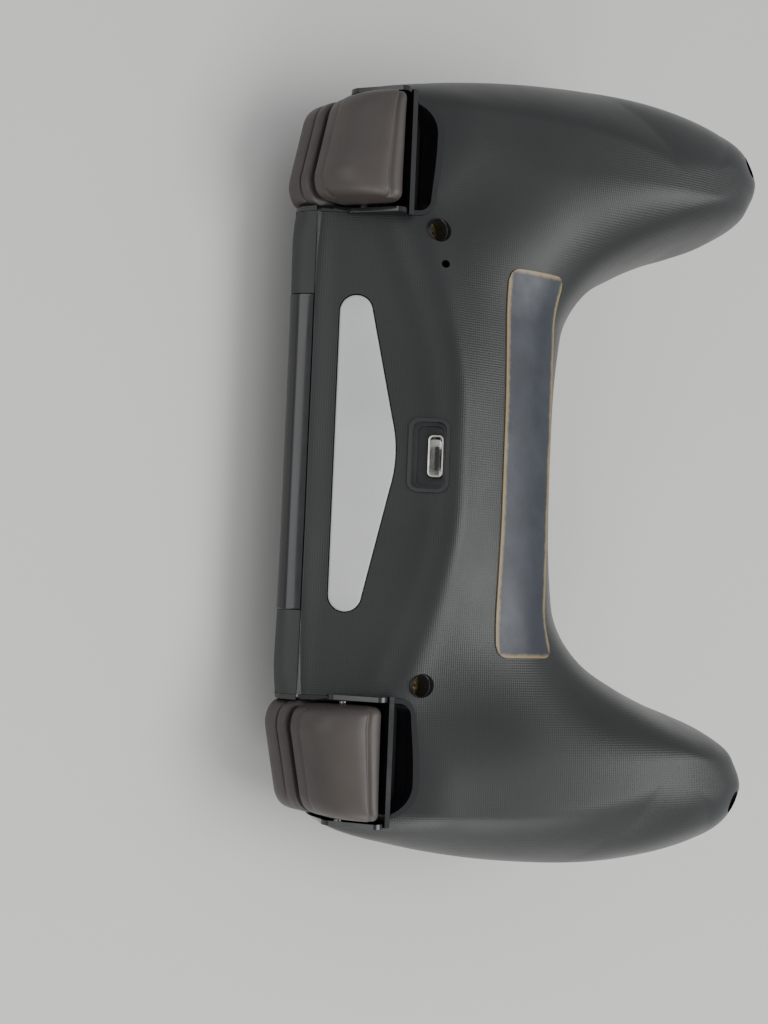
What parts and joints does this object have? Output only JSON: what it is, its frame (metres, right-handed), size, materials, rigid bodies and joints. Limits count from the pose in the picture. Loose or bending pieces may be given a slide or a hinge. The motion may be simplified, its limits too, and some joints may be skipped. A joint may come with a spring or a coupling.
{
  "type": "game controller",
  "caption": "Twin-grip wireless game controller lying face down, with shoulder triggers, light bar, charging port, sticks, direction pad and buttons",
  "frame": {"origin": "on the surface that the stick caps rest on, below the middle of the controller's box", "axes": "+X across the grips towards the trigger side that has the action buttons, +Y from the light bar to the grips, +Z out of the underside"},
  "size_m": [0.1614, 0.101, 0.057],
  "materials": {
    "shell_plastic": "fine raised grid, satin",
    "gloss_black": "polished",
    "light_lens": "milky lens",
    "clear_guide": "clear moulding",
    "trigger_plastic": "satin, worn warm",
    "steel": "plain",
    "dark_plastic": "satin",
    "white_plastic": "plain",
    "button_plastic": "domed, polished",
    "grey_rubber": "moulded",
    "cap_rubber": "moulded",
    "module_plastic": "plain",
    "circuit_board": "solder resist",
    "battery_wrap": "shrink film",
    "screw_brass": "passivated",
    "label_film": "worn film"
  },
  "bodies": {
    "root": {"upper_shell": "shell_plastic", "lower_shell": "shell_plastic", "left_trigger_bezel": "gloss_black", "right_trigger_bezel": "gloss_black", "light_bar": "light_lens", "light_guide": "clear_guide", "left_trigger_pin": "steel", "right_trigger_pin": "steel", "left_trigger_spring": "steel", "right_trigger_spring": "steel", "usb_port": "steel", "left_rumble_motor": "steel", "right_rumble_motor": "steel", "battery_tray": "dark_plastic", "usb_tongue": "dark_plastic", "headset_jack": "dark_plastic", "extension_port": "dark_plastic", "speaker": "dark_plastic", "reset_switch": "white_plastic", "left_rubber_mat": "grey_rubber", "right_rubber_mat": "grey_rubber", "left_stick_module": "module_plastic", "right_stick_module": "module_plastic", "main_board": "circuit_board", "touchpad_board": "circuit_board", "battery": "battery_wrap", "case_screws": "screw_brass", "label": "label_film"},
    "button_north": {"button_north": "button_plastic"},
    "button_south": {"button_south": "button_plastic"},
    "button_east": {"button_east": "button_plastic"},
    "button_west": {"button_west": "button_plastic"},
    "left_menu_button": {"left_menu_button": "dark_plastic"},
    "right_menu_button": {"right_menu_button": "dark_plastic"},
    "home_button": {"home_button": "dark_plastic"},
    "touchpad": {"touchpad": "gloss_black"},
    "dpad_spacer": {"dpad_spacer": "white_plastic"},
    "dpad": {"dpad": "dark_plastic"},
    "left_bumper": {"left_bumper": "trigger_plastic"},
    "left_trigger": {"left_trigger": "trigger_plastic"},
    "left_stick_rocker": {"left_stick_rocker": "white_plastic"},
    "left_stick_yoke": {"left_stick_yoke": "dark_plastic"},
    "left_stick_cap": {"left_stick_cap": "cap_rubber", "left_stick_shaft": "steel"},
    "left_rumble_weight": {"left_rumble_weight": "steel"},
    "right_bumper": {"right_bumper": "trigger_plastic"},
    "right_trigger": {"right_trigger": "trigger_plastic"},
    "right_stick_rocker": {"right_stick_rocker": "white_plastic"},
    "right_stick_yoke": {"right_stick_yoke": "dark_plastic"},
    "right_stick_cap": {"right_stick_cap": "cap_rubber", "right_stick_shaft": "steel"},
    "right_rumble_weight": {"right_rumble_weight": "steel"}
  },
  "joints": [
    {"name": "button_north_press", "type": "slide", "parent": "root", "child": "button_north", "axis": [0, 0, 1], "range_m": [0, 0.0012], "stiffness_N_per_m": 400},
    {"name": "button_south_press", "type": "slide", "parent": "root", "child": "button_south", "axis": [0, 0, 1], "range_m": [0, 0.0012], "stiffness_N_per_m": 400},
    {"name": "button_east_press", "type": "slide", "parent": "root", "child": "button_east", "axis": [0, 0, 1], "range_m": [0, 0.0012], "stiffness_N_per_m": 400},
    {"name": "button_west_press", "type": "slide", "parent": "root", "child": "button_west", "axis": [0, 0, 1], "range_m": [0, 0.0012], "stiffness_N_per_m": 400},
    {"name": "left_menu_button_press", "type": "slide", "parent": "root", "child": "left_menu_button", "axis": [0, 0, 1], "range_m": [0, 0.0008], "stiffness_N_per_m": 500},
    {"name": "right_menu_button_press", "type": "slide", "parent": "root", "child": "right_menu_button", "axis": [0, 0, 1], "range_m": [0, 0.0008], "stiffness_N_per_m": 500},
    {"name": "home_button_press", "type": "slide", "parent": "root", "child": "home_button", "axis": [0, 0, 1], "range_m": [0, 0.0008], "stiffness_N_per_m": 500},
    {"name": "touchpad_click", "type": "hinge", "parent": "root", "child": "touchpad", "pos_m": [0, -0.044, 0.012], "axis": [1, 0, 0], "range_deg": [0, 1.2], "stiffness_Nm_per_rad": 6},
    {"name": "dpad_rock_sideways", "type": "hinge", "parent": "root", "child": "dpad_spacer", "pos_m": [-0.05, -0.0205, 0.0145], "axis": [0, 1, 0], "range_deg": [-2.5, 2.5], "stiffness_Nm_per_rad": 0.5},
    {"name": "dpad_rock_lengthwise", "type": "hinge", "parent": "dpad_spacer", "child": "dpad", "pos_m": [-0.05, -0.0205, 0.0145], "axis": [1, 0, 0], "range_deg": [-2.5, 2.5], "stiffness_Nm_per_rad": 0.5},
    {"name": "left_bumper_press", "type": "hinge", "parent": "root", "child": "left_bumper", "pos_m": [-0.0472, -0.041, 0.015], "axis": [0, 0, -1], "range_deg": [0, 3], "stiffness_Nm_per_rad": 1.2},
    {"name": "left_trigger_pull", "type": "hinge", "parent": "root", "child": "left_trigger", "pos_m": [-0.0578, -0.0386, 0.0216], "axis": [-1, 0, 0], "range_deg": [0, 18], "stiffness_Nm_per_rad": 0.06},
    {"name": "left_stick_tilt_lengthwise", "type": "hinge", "parent": "root", "child": "left_stick_rocker", "pos_m": [-0.025, 0, 0.0195], "axis": [1, 0, 0], "range_deg": [-15, 15], "stiffness_Nm_per_rad": 0.06},
    {"name": "left_stick_tilt_sideways", "type": "hinge", "parent": "left_stick_rocker", "child": "left_stick_yoke", "pos_m": [-0.025, 0, 0.0195], "axis": [0, 1, 0], "range_deg": [-15, 15], "stiffness_Nm_per_rad": 0.06},
    {"name": "left_stick_press", "type": "slide", "parent": "left_stick_yoke", "child": "left_stick_cap", "axis": [0, 0, 1], "range_m": [0, 0.0008], "stiffness_N_per_m": 200, "springref_m": -0.015},
    {"name": "left_rumble_spin", "type": "hinge", "parent": "root", "child": "left_rumble_weight", "pos_m": [-0.06, 0.01, 0.0385], "axis": [0, 0.8829, 0.4695], "continuous": true},
    {"name": "right_bumper_press", "type": "hinge", "parent": "root", "child": "right_bumper", "pos_m": [0.0472, -0.041, 0.015], "axis": [0, 0, 1], "range_deg": [0, 3], "stiffness_Nm_per_rad": 1.2},
    {"name": "right_trigger_pull", "type": "hinge", "parent": "root", "child": "right_trigger", "pos_m": [0.0578, -0.0386, 0.0216], "axis": [-1, 0, 0], "range_deg": [0, 18], "stiffness_Nm_per_rad": 0.06},
    {"name": "right_stick_tilt_lengthwise", "type": "hinge", "parent": "root", "child": "right_stick_rocker", "pos_m": [0.025, 0, 0.0195], "axis": [1, 0, 0], "range_deg": [-15, 15], "stiffness_Nm_per_rad": 0.06},
    {"name": "right_stick_tilt_sideways", "type": "hinge", "parent": "right_stick_rocker", "child": "right_stick_yoke", "pos_m": [0.025, 0, 0.0195], "axis": [0, 1, 0], "range_deg": [-15, 15], "stiffness_Nm_per_rad": 0.06},
    {"name": "right_stick_press", "type": "slide", "parent": "right_stick_yoke", "child": "right_stick_cap", "axis": [0, 0, 1], "range_m": [0, 0.0008], "stiffness_N_per_m": 200, "springref_m": -0.015},
    {"name": "right_rumble_spin", "type": "hinge", "parent": "root", "child": "right_rumble_weight", "pos_m": [0.06, 0.01, 0.0385], "axis": [0, 0.8829, 0.4695], "continuous": true}
  ]
}
